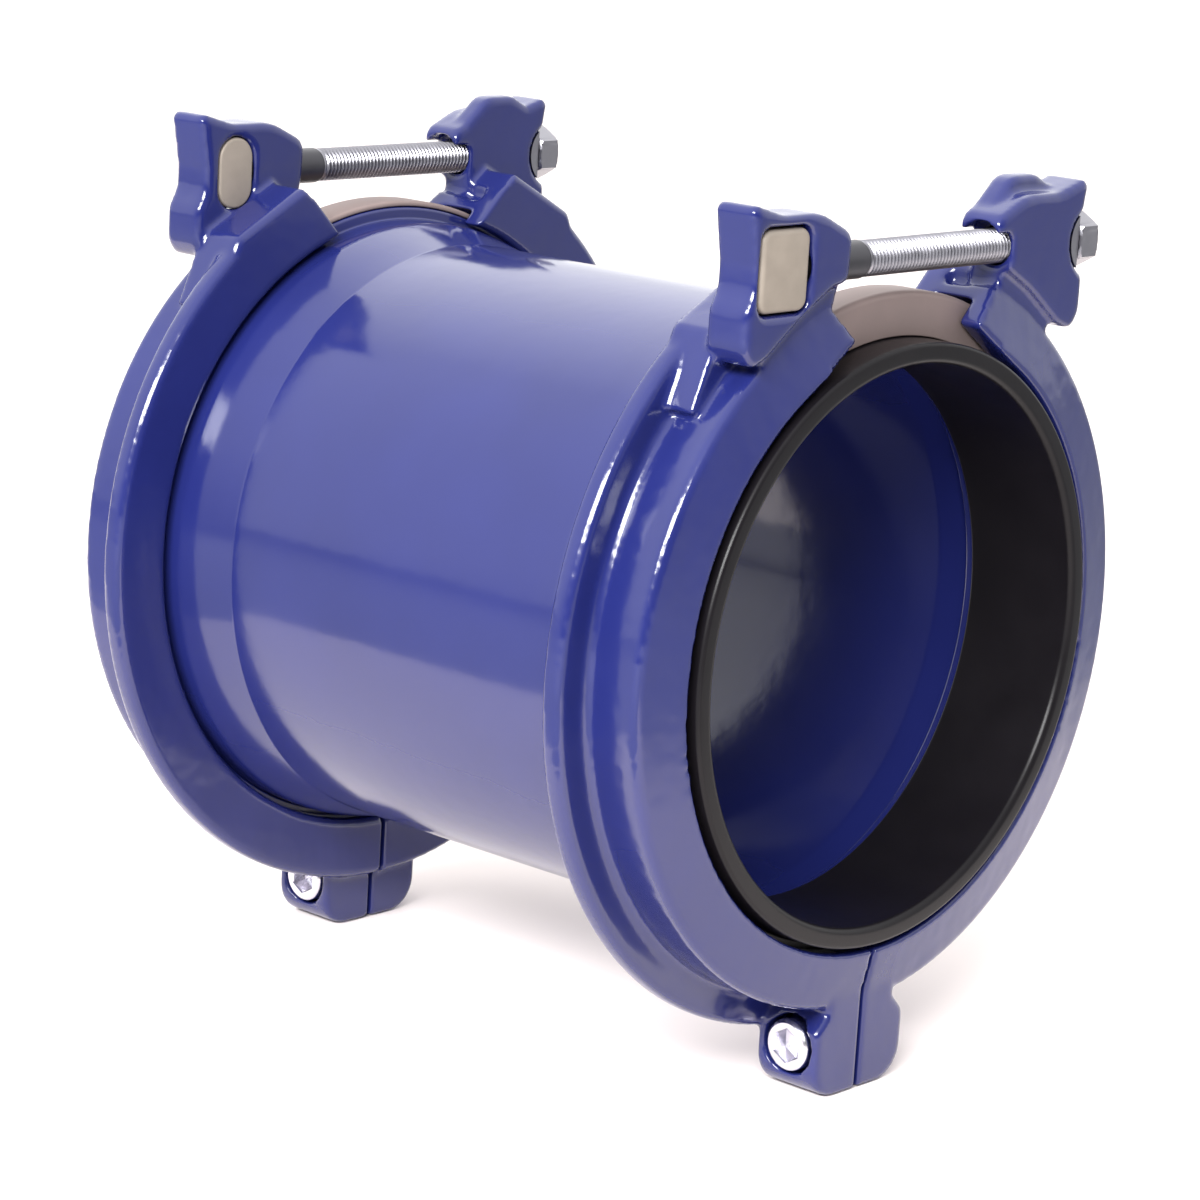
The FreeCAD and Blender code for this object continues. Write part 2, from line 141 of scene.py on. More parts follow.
# Points nearer than these are merged, in metres: on a new surface, on a solid's loose triangles,
# and along an edge too short to keep
MERGE_DISTANCE = 1e-7
SOLID_MERGE_DISTANCE = 1e-6
SHORTEST_EDGE = 1e-8

# A metric thread's depth as a share of its pitch, and half its root and one flank along the pitch
THREAD_DEPTH_SHARE = 0.6134
ROOT_HALF_SHARE = 0.125
FLANK_SHARE = 0.3125

# Stage, in metres and watts. The far room's unit vector runs from the camera's side of the room
# across to the far wall and ceiling, and the levels say how bright the room is at each cosine
# from it.
FAR_ROOM_DIRECTION = (-0.6, 0.45, 0.66)
ROOM_LEVELS = ((-0.5, 0.12), (-0.15, 0.75), (0.15, 1.35), (0.5, 1.5), (0.85, 1.7), (1.0, 2.5))
KEY_PLACE = (0.70, -1.93, 1.24)
KEY_WIDTH = 1.9
KEY_HEIGHT = 0.6
KEY_POWER = 138
FLOOR_HALF = 12.0
FLOOR_COLOUR = "a2a2a3"
# Paler patch that the coupling stands on, a painted pool of light on the floor: its left edge, how
# far its right edge lies from the middle, square to its own unit vector, and how wide each edge
# fades into the floor
SHEET_COLOUR = "f8efeb"
SHEET_LEFT_Y = -0.31
SHEET_LEFT_FADE = 0.004
SHEET_RIGHT = 0.34
SHEET_RIGHT_FADE = 0.2
SHEET_RIGHT_DIRECTION = (0.831, 0.556, 0.0)
# Camera: its place, its own right, up and back directions, and its lens and sensor in millimetres
CAMERA_PLACE = (0.88425, -0.99125, 0.29375)
CAMERA_RIGHT = (0.73683, 0.67359, 0.05789)
CAMERA_UP = (-0.19239, 0.12683, 0.97309)
CAMERA_BACK = (0.64812, -0.72814, 0.22304)
CAMERA_LENS = 115.56
CAMERA_SENSOR = 36.0
CAMERA_CLIP_START = 0.05


def linear(code):
    """Linear colour of an sRGB hex value."""
    values = [int(code[i:i + 2], 16) / 255 for i in (0, 2, 4)]
    return tuple(v / 12.92 if v <= 0.04045 else ((v + 0.055) / 1.055) ** 2.4 for v in values)


def colour_property(name, code, description):
    return bpy.props.FloatVectorProperty(
        name=name, description=description, subtype="COLOR", size=3, min=0, max=1,
        default=linear(code))


def length_property(name, value, description):
    return bpy.props.FloatProperty(name=name, description=description, default=value, unit="LENGTH")


class CouplingColours(bpy.types.PropertyGroup):
    """Colours of the coupling's finishes"""
    coating: colour_property("Coating", "1b2159", "Blue of the coated sleeve and clamps")
    rubber: colour_property("Rubber", "100e11", "Black of the sealing rings")
    sheet: colour_property("Bare sheet", "877774", "Warm grey of the bridge plates")
    zinc: colour_property("Zinc", "94939a", "Silver of the bolts, nuts and screws")
    block: colour_property("Block", "90867b", "Buff of the bolt's block head")


class CouplingSizes(bpy.types.PropertyGroup):
    """Sizes of the details that only the looks have"""
    pitch: length_property("Thread pitch", 1.75 * MM,
                           "Distance between two turns of the bolts' threads")
    cast_detail: length_property("Cast detail", 1.15 * MM,
                                 "Smallest form kept on the cast clamp halves")
    peel: length_property("Coating ripple", 3.5 * MM, "Width of the ripples in the cured coating")


# Surfaces

def mesh_from_grid(name, points, materials, along=False, row_slots=None):
    """Mesh of a grid of points, rows by columns by 3, whose rows close up around the form. The last
    row joins the first where along is set, and otherwise each end row is closed by one face.
    row_slots is the material slot of each row of faces."""
    columns = points.shape[1]
    index = np.arange(points.shape[0] * columns).reshape(-1, columns)
    low = index if along else index[:-1]
    high = np.roll(index, -1, axis=0) if along else index[1:]
    quads = np.stack([low, np.roll(low, -1, axis=1), np.roll(high, -1, axis=1), high], axis=-1)
    faces = quads.reshape(-1, 4).tolist()
    if not along:
        faces += [index[0, ::-1].tolist(), index[-1].tolist()]
    mesh = bpy.data.meshes.new(name)
    mesh.from_pydata((points.reshape(-1, 3) * MM).tolist(), [], faces)
    for material in materials:
        mesh.materials.append(material)
    if row_slots is not None:
        slots = np.concatenate([np.repeat(row_slots, columns), [row_slots[0], row_slots[-1]]])
        mesh.polygons.foreach_set("material_index", slots.astype(np.int32))
    tidy_mesh(mesh)
    return mesh


def smooth_shade(mesh):
    """Smooth shading that keeps edges crisp where they turn by more than the sharp edge's angle."""
    mesh.shade_smooth()
    mesh.set_sharp_from_angle(angle=SHARP_EDGE)


def tidy_mesh(mesh):
    """Merges doubles, turns every face outwards and shades the mesh."""
    work = bmesh.new()
    work.from_mesh(mesh)
    bmesh.ops.remove_doubles(work, verts=work.verts, dist=MERGE_DISTANCE)
    bmesh.ops.dissolve_degenerate(work, dist=SHORTEST_EDGE, edges=work.edges)
    bmesh.ops.recalc_face_normals(work, faces=work.faces)
    work.to_mesh(mesh)
    work.free()
    smooth_shade(mesh)


def joined(name, meshes):
    """One mesh that holds several closed shells, with the first one's materials."""
    work = bmesh.new()
    for mesh in meshes:
        work.from_mesh(mesh)
    whole = bpy.data.meshes.new(name)
    work.to_mesh(whole)
    work.free()
    for material in meshes[0].materials:
        whole.materials.append(material)
    for mesh in meshes:
        bpy.data.meshes.remove(mesh)
    smooth_shade(whole)
    return whole


def place(name, mesh, body, slot, *nodes):
    """Puts a finished mesh in the scene on its body, in place of the solids named."""
    piece = bpy.data.objects.new(name, mesh)
    bpy.context.scene.collection.objects.link(piece)
    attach(piece, body)
    if nodes:
        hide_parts(*nodes)


def rounded_line(corners, arc_step):
    """Points of a closed line through (a, b, round) corners. Each round is an arc that touches both
    sides, its centre on the corner's bisector at round over the sine of half the corner's angle,
    with a point about every arc_step degrees."""
    line = []
    for i, (a, b, radius) in enumerate(corners):
        corner = np.array([a, b])
        if radius <= 0:
            line.append(corner[None])
            continue
        before = np.array(corners[i - 1][:2]) - corner
        after = np.array(corners[(i + 1) % len(corners)][:2]) - corner
        before, after = before / np.linalg.norm(before), after / np.linalg.norm(after)
        half = math.acos(np.clip(before @ after, -1, 1)) / 2
        bisector = (before + after) / np.linalg.norm(before + after)
        centre = corner + bisector * radius / math.sin(half)
        first = corner + before * radius / math.tan(half) - centre
        last = corner + after * radius / math.tan(half) - centre
        turn = math.atan2(first[0] * last[1] - first[1] * last[0], first @ last)
        count = max(3, int(abs(math.degrees(turn)) / arc_step) + 2)
        angles = np.linspace(0, turn, count)
        cos, sin = np.cos(angles), np.sin(angles)
        arc = np.stack([first[0] * cos - first[1] * sin, first[0] * sin + first[1] * cos], axis=1)
        line.append(centre + arc)
    return np.concatenate(line)


def divided(line, longest):
    """The same closed line with its long runs divided, so that no step is longer than longest."""
    gaps = np.roll(line, -1, axis=0) - line
    steps = np.maximum(1, np.ceil(np.linalg.norm(gaps, axis=1) / longest).astype(int))
    owner = np.repeat(np.arange(len(line)), steps)
    part = (np.arange(len(owner)) - np.repeat(np.cumsum(steps) - steps, steps)) / steps[owner]
    return line[owner] + gaps[owner] * part[:, None]


def turned_about_pipe(line, angles):
    """Surface of revolution about the pipe axis. A (station, radius) point at an angle off the top
    lies at half length less station along X, radius times the angle's sine along Y and its cosine
    along Z."""
    shape = line.shape[:-1] + (len(angles),)
    x = np.broadcast_to(HALF_LENGTH - line[..., 0, None], shape)
    y = line[..., 1, None] * np.sin(angles)
    z = line[..., 1, None] * np.cos(angles)
    return np.stack([x, y, z], axis=-1)


def along_y(y, radius, x, z, angles):
    """Surface about a line along Y through x and z. A point lies the radius times the angle's
    cosine along X and its sine along Z from that line, with one radius for each row and column."""
    radius = np.broadcast_to(radius, (len(y), len(angles)))
    rows_y = np.broadcast_to(y[:, None], radius.shape)
    return np.stack([x + radius * np.cos(angles), rows_y, z + radius * np.sin(angles)], axis=-1)


def mirrored(points, side):
    """The same points for the end of the coupling on that side of X."""
    return points * np.array([side, 1.0, 1.0])


def full_turn(columns):
    return np.linspace(0, 2 * math.pi, columns, endpoint=False)


def hexagon_radius(angles, across_flats):
    """Distance from the centre to a hexagon's side at each angle: half the flats over the cosine
    to the nearest flat."""
    to_flat = (angles + math.pi / 6) % (math.pi / 3) - math.pi / 6
    return across_flats / 2 / np.cos(to_flat)


def thread_depth(y, angles, pitch):
    """Depth of a metric thread at each row and column: a flat crest, two flanks and a flat root,
    whose phase is the height over the pitch plus the share of the turn."""
    phase = (y[:, None] / pitch + angles[None] / (2 * math.pi)) % 1.0
    from_root = np.abs(phase - 0.5)
    share = np.clip((ROOT_HALF_SHARE + FLANK_SHARE - from_root) / FLANK_SHARE, 0, 1)
    return THREAD_DEPTH_SHARE * pitch * share


def rounded_slab(x, depth, width, height, corner, edge):
    """Slab of the bolt's head about x, with round corners and softened rims: its outline is a
    rectangle grown by the corner radius, and each rim shrinks that radius by the edge radius times
    one less the cosine of the rim's angle."""
    turn_steps, rim_steps = 8, 5
    quarter = np.linspace(0, math.pi / 2, turn_steps)
    angles = np.concatenate([quarter + k * math.pi / 2 for k in range(4)])
    sign_y = np.repeat([1, -1, -1, 1], turn_steps)
    sign_z = np.repeat([1, 1, -1, -1], turn_steps)
    rim = np.linspace(0, math.pi / 2, rim_steps)
    low = np.stack([-depth / 2 + edge * (1 - np.sin(rim)), edge * (1 - np.cos(rim))], axis=1)[::-1]
    high = low[::-1] * np.array([-1, 1])
    rows = np.concatenate([low, high])
    radius = corner - rows[:, 1, None]
    points = np.empty((len(rows), len(angles), 3))
    points[..., 0] = x + rows[:, 0, None]
    points[..., 1] = BLOCK_Y + sign_y * (width / 2 - corner) + radius * np.cos(angles)
    points[..., 2] = BOLT_Z + sign_z * (height / 2 - corner) + radius * np.sin(angles)
    return points


def nut_points(start_y, x, z):
    """Hexagon nut: the outside is the nearer of the hexagon and a 30 degree cone at each face, and
    the hole is plain and widens towards both faces."""
    angles = full_turn(columns=96)
    edge = NUT_FLATS / math.sqrt(3) - NUT_CORNER_CUT
    chamfer = NUT_CORNER_CUT * math.tan(NUT_CHAMFER_ANGLE)
    outside_y = np.array([0, chamfer * 0.5, chamfer, NUT_THICKNESS - chamfer,
                          NUT_THICKNESS - chamfer * 0.5, NUT_THICKNESS])
    to_face = np.minimum(outside_y, NUT_THICKNESS - outside_y)
    cone = edge + to_face / math.tan(NUT_CHAMFER_ANGLE)
    outside = np.minimum(hexagon_radius(angles, NUT_FLATS)[None], cone[:, None])
    hole_y = np.linspace(NUT_THICKNESS, 0, num=48)
    to_face = np.minimum(hole_y, NUT_THICKNESS - hole_y)
    mouth = np.clip(1.0 - to_face / NUT_MOUTH_DEPTH, 0, 1)[:, None]
    hole = NUT_HOLE_RADIUS + mouth * NUT_MOUTH_WIDENING + np.zeros(len(angles))
    y = start_y + np.concatenate([outside_y, hole_y])
    return along_y(y, np.concatenate([outside, hole]), x, z, angles)


# Materials

def add(tree, kind, settings=None, links=None):
    """Adds a node, sets its attributes or input values by name, and links its inputs from other
    nodes' outputs."""
    node = tree.nodes.new(kind)
    for key, value in (settings or {}).items():
        if isinstance(key, str) and hasattr(node, key):
            setattr(node, key, value)
        else:
            node.inputs[key].default_value = value
    for key, source in (links or {}).items():
        tree.links.new(source, node.inputs[key])
    return node


def new_material(name):
    """A material without nodes, its node tree and its Object coordinates."""
    material = bpy.data.materials.new(name)
    material.use_nodes = True
    tree = material.node_tree
    tree.nodes.clear()
    return material, tree, add(tree, "ShaderNodeTexCoord").outputs["Object"]


def finish_shader(tree, settings, links):
    """The surface's shader, joined to the material's output."""
    shader = add(tree, "ShaderNodeBsdfPrincipled", settings, links)
    add(tree, "ShaderNodeOutputMaterial", links={"Surface": shader.outputs["BSDF"]})


def tint(colour, share):
    return tuple(min(1.0, c * share) for c in colour) + (1.0,)


def patchy_colour(tree, coordinates, colour, width, detail, darkest, lightest):
    """Noise patches of that width in metres, and the colour that they take from its darkest share
    to its lightest."""
    patches = add(tree, "ShaderNodeTexNoise", {"Scale": 1 / width, "Detail": detail},
                  {"Vector": coordinates}).outputs["Fac"]
    body = add(tree, "ShaderNodeMix",
               {"data_type": "RGBA", 6: tint(colour, darkest), 7: tint(colour, lightest)},
               {0: patches})
    return patches, body.outputs[2]


def raised_skin(tree, coordinates, width, detail, strength, height, under=None):
    """Normal of a skin that noise of that width raises by that height, over the skin under it."""
    noise = add(tree, "ShaderNodeTexNoise", {"Scale": 1 / width, "Detail": detail},
                {"Vector": coordinates})
    links = {"Height": noise.outputs["Fac"]}
    if under is not None:
        links["Normal"] = under
    skin = add(tree, "ShaderNodeBump", {"Strength": strength, "Distance": height}, links)
    return skin.outputs["Normal"]


def grained_finish(name, colour, patch, grain, settings, gloss=None):
    """A finish of patchy colour and grained skin. patch is the patches' width, detail, darkest and
    lightest share, grain is the grain's width, detail, strength and height, and gloss is the
    roughness where the patches are darkest and lightest."""
    material, tree, coordinates = new_material(name)
    patches, body = patchy_colour(tree, coordinates, colour, *patch)
    links = {"Base Color": body, "Normal": raised_skin(tree, coordinates, *grain)}
    if gloss is not None:
        spread = add(tree, "ShaderNodeMapRange", {"To Min": gloss[0], "To Max": gloss[1]},
                     {"Value": patches})
        links["Roughness"] = spread.outputs["Result"]
    finish_shader(tree, settings, links)


def coating_material(name, colour, ripple, waviness, rough):
    """Nylon powder coating, sprayed on hot metal: thick, glossy and slightly rippled as it flowed
    out. Waviness is how much of a casting's uneven skin shows through it, which breaks reflections
    up into short glints."""
    material, tree, coordinates = new_material(name)
    patches, body = patchy_colour(tree, coordinates, colour, 45 * MM, 2.0, 0.86, 1.16)
    wave = raised_skin(tree, coordinates, 10 * MM, 1.0, waviness, 0.45 * MM)
    skin = raised_skin(tree, coordinates, ripple, 1.5, 0.12, 0.12 * MM, under=wave)
    gloss = add(tree, "ShaderNodeMapRange", {"To Min": rough - 0.04, "To Max": rough + 0.04},
                {"Value": patches})
    finish_shader(tree, {"IOR": 1.53, "Specular IOR Level": 0.6},
                  {"Base Color": body, "Roughness": gloss.outputs["Result"], "Normal": skin})


def rubber_material(colour):
    """Moulded EPDM rubber: black and nearly matt, with a faint grain from the mould."""
    grained_finish("Moulded EPDM rubber", colour, patch=(20 * MM, 4.0, 0.8, 1.35),
                   grain=(1.2 * MM, 2.0, 0.15, 0.1 * MM), gloss=(0.26, 0.40),
                   settings={"IOR": 1.52, "Specular IOR Level": 0.18})


def sheet_material(colour):
    """Cold rolled stainless sheet, pickled after forming: a dull warm grey with soft blotches."""
    grained_finish("Pickled stainless sheet", colour, patch=(16 * MM, 5.0, 0.85, 1.12),
                   grain=(0.8 * MM, 3.0, 0.2, 0.05 * MM), gloss=(0.45, 0.62),
                   settings={"Metallic": 0.35})


def steel_material(name, colour, rough):
    """Zinc plated steel: silver, with small dull patches and a fine grain."""
    grained_finish(name, colour, patch=(5 * MM, 4.0, 0.82, 1.08),
                   grain=(0.7 * MM, 2.0, 0.2, 0.04 * MM), gloss=(rough - 0.06, rough + 0.08),
                   settings={"Metallic": 1.0})


def block_material(colour):
    """Sherardised block: a matt buff grey zinc skin, grainy and a little darker in patches."""
    grained_finish("Sherardised block", colour, patch=(7 * MM, 5.0, 0.82, 1.14),
                   grain=(0.9 * MM, 3.0, 0.4, 0.08 * MM),
                   settings={"Metallic": 0.2, "Roughness": 0.55})


def finishes():
    """The coupling's materials by name, made once."""
    colours = bpy.context.scene.coupling_colours
    peel = bpy.context.scene.coupling_sizes.peel
    if "Nylon powder coating" not in bpy.data.materials:
        coating_material("Nylon powder coating", colours.coating, peel, waviness=0.12, rough=0.12)
        coating_material("Nylon coated casting", colours.coating, peel, waviness=0.6, rough=0.16)
        rubber_material(colours.rubber)
        sheet_material(colours.sheet)
        steel_material("Zinc plated steel", colours.zinc, rough=0.3)
        # A copy of the zinc at three tenths of its brightness: painted shade on the top bolts'
        # necks beside the left lugs; the spring washers take it too.
        steel_material("Dull zinc plated steel", tint(colours.zinc, 0.3)[:3], rough=0.42)
        steel_material("Bright zinc plated steel", tint(colours.zinc, 2.4)[:3], rough=0.24)
        block_material(colours.block)
    return bpy.data.materials


def dress(node, material):
    """Gives a solid carried over from the frame its material."""
    mesh = NODES[node].data
    mesh.materials.clear()
    mesh.materials.append(material)


# Operators

class COUPLING_OT_clamps(bpy.types.Operator):
    """Cast clamp halves: the solids' own walls, with every edge and corner softened as casting and
    coating do"""
    bl_idname = "coupling.clamps"
    bl_label = "Cast clamp halves"

    def execute(self, context):
        for side in ("left", "right"):
            for end, _ in ENDS:
                node = "clamp_" + side + "_" + end
                cast = self.softened(context, node)
                cast.name = node + "_cast"
                cast.materials.clear()
                cast.materials.append(finishes()["Nylon coated casting"])
                cast.shade_smooth()
                place(node + "_cast", cast, side + "_half_" + end, "blue_coating", node)
        return {"FINISHED"}

    def softened(self, context, node):
        """Copy of a solid's mesh, merged, remade in small even cells and smoothed."""
        mesh = NODES[node].data.copy()
        work = bmesh.new()
        work.from_mesh(mesh)
        bmesh.ops.remove_doubles(work, verts=work.verts, dist=SOLID_MERGE_DISTANCE)
        work.to_mesh(mesh)
        work.free()
        form = bpy.data.objects.new(node + "_form", mesh)
        context.scene.collection.objects.link(form)
        remesh = form.modifiers.new("Voxels", "REMESH")
        remesh.mode = "VOXEL"
        remesh.voxel_size = context.scene.coupling_sizes.cast_detail
        remesh.use_smooth_shade = True
        smooth = form.modifiers.new("Flow", "SMOOTH")
        smooth.factor = CAST_SMOOTHING
        smooth.iterations = CAST_SMOOTHING_ROUNDS
        context.view_layer.update()
        graph = context.evaluated_depsgraph_get()
        cast = bpy.data.meshes.new_from_object(form.evaluated_get(graph))
        bpy.data.objects.remove(form)
        return cast


class COUPLING_OT_sleeve(bpy.types.Operator):
    """Sleeve: one turned surface with a flare, a neck, a hooked lip and an inner ridge at each
    end"""
    bl_idname = "coupling.sleeve"
    bl_label = "Sleeve"

    def execute(self, context):
        # Each corner is a station, a radius and the round that softens it
        ridge = TOE_STATION + SEAT_GAP
        outside = [(SLEEVE_END, LIP_RADIUS, 1.2), (LIP_END, LIP_RADIUS, 1.2),
                   (LIP_END, NECK_RADIUS, 0.8), (FLARE_END, NECK_RADIUS, 16),
                   (FLARE_START, BARREL_RADIUS, 6)]
        inside = [(SLEEVE_END, MOUTH_RADIUS, 1.0), (LIP_END, MOUTH_RADIUS, 3.0),
                  (ridge, RIDGE_RADIUS + RIDGE_HEIGHT, 0), (ridge, RIDGE_RADIUS, 1.2),
                  (TOE_STATION + RIDGE_LENGTH, RIDGE_RADIUS, 1.2),
                  (TOE_STATION + RIDGE_LENGTH + RIDGE_BACK, BORE_RADIUS + RIDGE_BACK, 1.0),
                  (FLARE_START, BORE_RADIUS, 12)]
        rear = 2 * HALF_LENGTH
        path = (outside + [(rear - s, r, f) for s, r, f in reversed(outside)]
                + [(rear - s, r, f) for s, r, f in inside] + list(reversed(inside)))
        line = divided(rounded_line(path, arc_step=5.0), longest=12.0)
        points = turned_about_pipe(line, full_turn(columns=288))
        mesh = mesh_from_grid("sleeve", points, [finishes()["Nylon powder coating"]], along=True)
        place("sleeve_coated", mesh, "housing", "blue_coating", "sleeve")
        return {"FINISHED"}


class COUPLING_OT_rubber_rings(bpy.types.Operator):
    """Rubber rings: a turned surface whose front shoulder steps back where the bridge plate lies on
    it"""
    bl_idname = "coupling.rubber_rings"
    bl_label = "Rubber rings"

    def execute(self, context):
        # Each corner is a station, a radius and the round that softens it
        corners = [(GASKET_FRONT, GASKET_BORE, 2.5), (GASKET_FRONT, NOSE_RADIUS, 1.5),
                   (PLATE_FRONT, NOSE_RADIUS, 0.8), (PLATE_FRONT, SHOULDER_RADIUS, 1.0),
                   (SLEEVE_END, SHOULDER_RADIUS, 0.3),
                   (SLEEVE_END, MOUTH_RADIUS - SEAT_GAP, 0.3),
                   (LIP_END, MOUTH_RADIUS - SEAT_GAP, 3.0),
                   (TOE_STATION, RIDGE_RADIUS + RIDGE_HEIGHT - SEAT_GAP, 1.0),
                   (TOE_STATION, GASKET_BORE, 1.2)]
        line = divided(rounded_line(corners, arc_step=10.0), longest=4.0)
        angles = full_turn(columns=360)
        points = turned_about_pipe(line, angles)
        points[..., 0] -= self.step_back(line, angles)
        for end, side in ENDS:
            mesh = mesh_from_grid("gasket_" + end, mirrored(points, side),
                                  [finishes()["Moulded EPDM rubber"]], along=True)
            place("rubber_ring_" + end, mesh, "housing", "black_rubber", "gasket_" + end)
        return {"FINISHED"}

    def step_back(self, line, angles):
        """How far each point moves inwards: the plate's thickness on the front of the shoulder
        within the plate's arc, and nothing past a short ramp at the arc's ends."""
        off_top = np.abs((angles + math.pi) % (2 * math.pi) - math.pi)
        arc_end = math.radians(PLATE_HALF_ANGLE + PLATE_END_PLAY)
        under_plate = np.clip((arc_end - off_top) / math.radians(STEP_RAMP), 0, 1)
        station, radius = line.T
        shoulder = (station > STEP_START) & (station < STEP_END) & (radius > STEP_RADIUS)
        return (PLATE_THICKNESS + SEAT_GAP) * shoulder[:, None] * under_plate[None]


class COUPLING_OT_bridge_plates(bpy.types.Operator):
    """Bridge plates: an angle section of sheet carried round an arc under the top gap"""
    bl_idname = "coupling.bridge_plates"
    bl_label = "Bridge plates"

    def execute(self, context):
        outer = PLATE_INNER + PLATE_THICKNESS
        back = PLATE_FRONT + PLATE_THICKNESS
        far = LIP_END - PLATE_EASE
        corners = [(PLATE_FRONT, PLATE_EDGE, 0.5), (PLATE_FRONT, outer, PLATE_BEND_ROUND),
                   (far, outer, PLATE_BACK_ROUND), (far, PLATE_INNER, 0.5),
                   (back, PLATE_INNER, 0.4), (back, PLATE_EDGE, 0.5)]
        line = rounded_line(corners, arc_step=12.0)
        reach = math.radians(PLATE_HALF_ANGLE)
        arc = np.linspace(-reach, reach, num=90)
        points = turned_about_pipe(line, arc).transpose(1, 0, 2)
        for end, side in ENDS:
            mesh = mesh_from_grid("bridge_plate_" + end, mirrored(points, side),
                                  [finishes()["Pickled stainless sheet"]])
            place("bridge_sheet_" + end, mesh, "housing", "bare_sheet", "bridge_plate_" + end)
        return {"FINISHED"}


class COUPLING_OT_top_bolts(bpy.types.Operator):
    """Top bolts: a buff block head in the left lug, a plain neck and a rolled thread"""
    bl_idname = "coupling.top_bolts"
    bl_label = "Top bolts"

    def execute(self, context):
        rod, row_slots = self.rod_points(context.scene.coupling_sizes.pitch / MM)
        block = rounded_slab(BLOCK_MIDDLE_X, BLOCK_DEPTH, BLOCK_WIDTH - BLOCK_PLAY,
                             BLOCK_HEIGHT - BLOCK_PLAY, BLOCK_CORNER, BLOCK_RIM)
        toe = rounded_slab(TOE_MIDDLE_X, TOE_DEPTH, TOE_WIDTH, TOE_HEIGHT, TOE_CORNER, TOE_RIM)
        made = finishes()
        # The neck rows take the darkened copy of the zinc, a painted shade.
        rod_finishes = [made["Dull zinc plated steel"], made["Zinc plated steel"]]
        for end, side in ENDS:
            node = "top_bolt_" + end
            mesh = mesh_from_grid(node + "_rod", mirrored(rod, side), rod_finishes,
                                  row_slots=row_slots)
            place(node + "_rod", mesh, "bolt_" + end, "zinc_steel", node)
            shells = [mesh_from_grid(node + "_head", mirrored(part, side),
                                     [made["Sherardised block"]]) for part in (block, toe)]
            mesh = joined(node + "_head", shells)
            place(node + "_head", mesh, "bolt_" + end, "zinc_steel", node)
        return {"FINISHED"}

    def rod_points(self, pitch):
        """Neck and threaded shank, and each row's finish: the shank's radius is the bolt's less the
        thread's depth, which fades in over its runout, and it is cut to a cone at the point."""
        angles = full_turn(columns=40)
        neck_y = np.array([BLOCK_Y, NECK_END_Y - NECK_CHAMFER, NECK_END_Y])
        neck = NECK_BOLT_RADIUS - np.array([0, 0, NECK_CHAMFER])
        thread_y = np.arange(NECK_END_Y, BOLT_END_Y, pitch / 10)
        fade = np.clip((thread_y - NECK_END_Y) / (THREAD_RUNOUT_TURNS * pitch), 0, 1)[:, None]
        cone = BOLT_END_Y - thread_y + BOLT_RADIUS - POINT_CONE_DEPTH
        point = np.clip(cone, 0, BOLT_RADIUS)[:, None]
        crest = BOLT_RADIUS - THREAD_PLAY
        thread = np.minimum(crest - fade * thread_depth(thread_y, angles, pitch), point)
        y = np.concatenate([neck_y, thread_y, [BOLT_END_Y]])
        radius = np.concatenate([np.repeat(neck[:, None], len(angles), axis=1), thread,
                                 np.full((1, len(angles)), POINT_RADIUS)])
        row_slots = np.arange(len(y) - 1) >= len(neck_y)
        return along_y(y, radius, BOLT_X, BOLT_Z, angles), row_slots


class COUPLING_OT_nuts(bpy.types.Operator):
    """Nuts: hexagons with chamfered corners, on the top bolts and on the bottom screws"""
    bl_idname = "coupling.nuts"
    bl_label = "Nuts"

    def execute(self, context):
        nuts = {"top": nut_points(NUT_START_Y, BOLT_X, BOLT_Z),
                "bottom": nut_points(BOTTOM_NUT_Y, SCREW_X, SCREW_Z)}
        for end, side in ENDS:
            bodies = {"top": "nut_" + end, "bottom": "housing"}
            for level, points in nuts.items():
                node = level + "_nut_" + end
                mesh = mesh_from_grid(node, mirrored(points, side),
                                      [finishes()["Zinc plated steel"]], along=True)
                place(level + "_nut_turned_" + end, mesh, bodies[level], "zinc_steel", node)
        return {"FINISHED"}


class COUPLING_OT_washers(bpy.types.Operator):
    """Washers: the solids' own saddle and spring washers, in zinc plated steel"""
    bl_idname = "coupling.washers"
    bl_label = "Washers"

    def execute(self, context):
        for end, _ in ENDS:
            dress("saddle_washer_" + end, finishes()["Zinc plated steel"])
            dress("spring_washer_" + end, finishes()["Dull zinc plated steel"])
        return {"FINISHED"}


